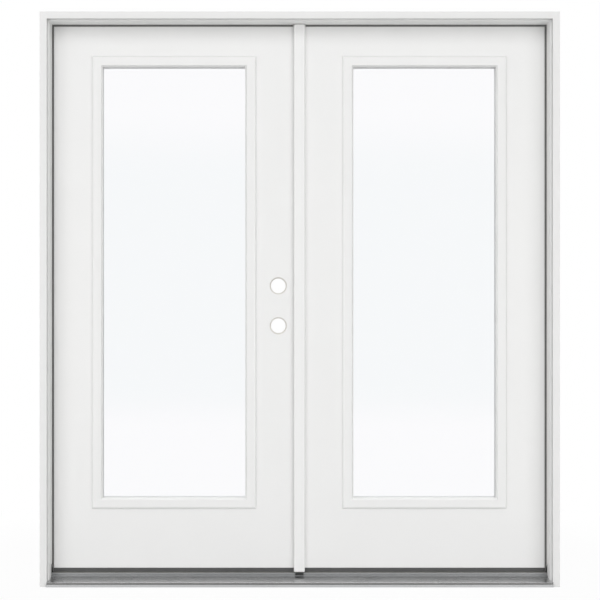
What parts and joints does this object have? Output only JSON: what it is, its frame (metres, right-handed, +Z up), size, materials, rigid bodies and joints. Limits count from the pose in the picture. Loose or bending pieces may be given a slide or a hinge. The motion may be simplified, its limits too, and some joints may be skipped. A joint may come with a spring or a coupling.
{
  "type": "double french patio door unit",
  "caption": "White inswing french doors in their frame: full-height glass in each leaf, a centre astragal, lock bores and an aluminium sill.",
  "frame": {"origin": "middle of the sill's underside, at mid depth of casing and jamb", "axes": "+Z up, +Y from outdoors into the room, +X to the right seen from outdoors"},
  "size_m": [1.8764, 0.1605, 2.0765],
  "materials": {
    "casing": "primed white, satin",
    "jamb": "primed white, satin",
    "skin": "smooth moulded skin, primed white",
    "lite_frame": "moulded white plastic",
    "glass": "clear float glass",
    "spacer": "satin",
    "astragal": "wrapped white, satin",
    "weatherstrip": "grey foam in a smooth sleeve",
    "sweep": "black vinyl",
    "foam_pad": "black closed cell foam",
    "sill_aluminium": "mill finish with fine draw lines",
    "sill_composite": "moulded composite",
    "sill_dam": "grey anodised, with two ribs",
    "sill_cap": "moulded composite",
    "hinge": "satin nickel",
    "strike": "satin nickel",
    "bolt": "satin",
    "bare_wood": "planed softwood",
    "lock_block": "moulded composite",
    "foam": "rigid foam"
  },
  "bodies": {
    "frame": {"foam_pads": "foam_pad", "head_casing": "casing", "head_jamb": "jamb", "head_strike": "strike", "head_weatherstrip": "weatherstrip", "jamb_hinge_leaves": "hinge", "left_casing": "casing", "left_jamb": "jamb", "left_weatherstrip": "weatherstrip", "right_casing": "casing", "right_jamb": "jamb", "right_weatherstrip": "weatherstrip", "sill_cap": "sill_cap", "sill_dam": "sill_dam", "sill_deck": "sill_aluminium", "sill_strike": "strike", "sill_substrate": "sill_composite"},
    "active_door": {"active_bottom_rail": "sill_composite", "active_foam_core": "foam", "active_hinge_leaves": "hinge", "active_hinge_stile": "bare_wood", "active_inner_lite_frame": "lite_frame", "active_inner_pane": "glass", "active_inner_skin": "skin", "active_lock_block": "lock_block", "active_lock_stile": "bare_wood", "active_outer_lite_frame": "lite_frame", "active_outer_pane": "glass", "active_outer_skin": "skin", "active_spacer": "spacer", "active_sweep": "sweep", "active_top_rail": "bare_wood"},
    "passive_door": {"astragal_cap": "astragal", "astragal_seal": "weatherstrip", "astragal_stem": "astragal", "lock_strikes": "strike", "passive_bottom_rail": "sill_composite", "passive_foam_core": "foam", "passive_hinge_leaves": "hinge", "passive_hinge_stile": "bare_wood", "passive_inner_lite_frame": "lite_frame", "passive_inner_pane": "glass", "passive_inner_skin": "skin", "passive_meeting_stile": "bare_wood", "passive_outer_lite_frame": "lite_frame", "passive_outer_pane": "glass", "passive_outer_skin": "skin", "passive_spacer": "spacer", "passive_sweep": "sweep", "passive_top_rail": "bare_wood"},
    "top_bolt": {"top_bolt": "bolt"},
    "bottom_bolt": {"bottom_bolt": "bolt"}
  },
  "joints": [
    {"name": "active_swing", "type": "hinge", "parent": "frame", "child": "active_door", "pos_m": [-0.91765, 0.07765, 1.055], "axis": [0, 0, 1], "range_deg": [0, 170]},
    {"name": "passive_swing", "type": "hinge", "parent": "frame", "child": "passive_door", "pos_m": [0.91765, 0.07765, 1.055], "axis": [0, 0, -1], "range_deg": [0, 153]},
    {"name": "top_bolt_slide", "type": "slide", "parent": "passive_door", "child": "top_bolt", "axis": [0, 0, 1], "range_m": [0, 0.015]},
    {"name": "bottom_bolt_slide", "type": "slide", "parent": "passive_door", "child": "bottom_bolt", "axis": [0, 0, -1], "range_m": [0, 0.015]}
  ],
  "couplings": [
    {"joint": "passive_swing", "follows": "active_swing", "ratio": 0.9}
  ]
}
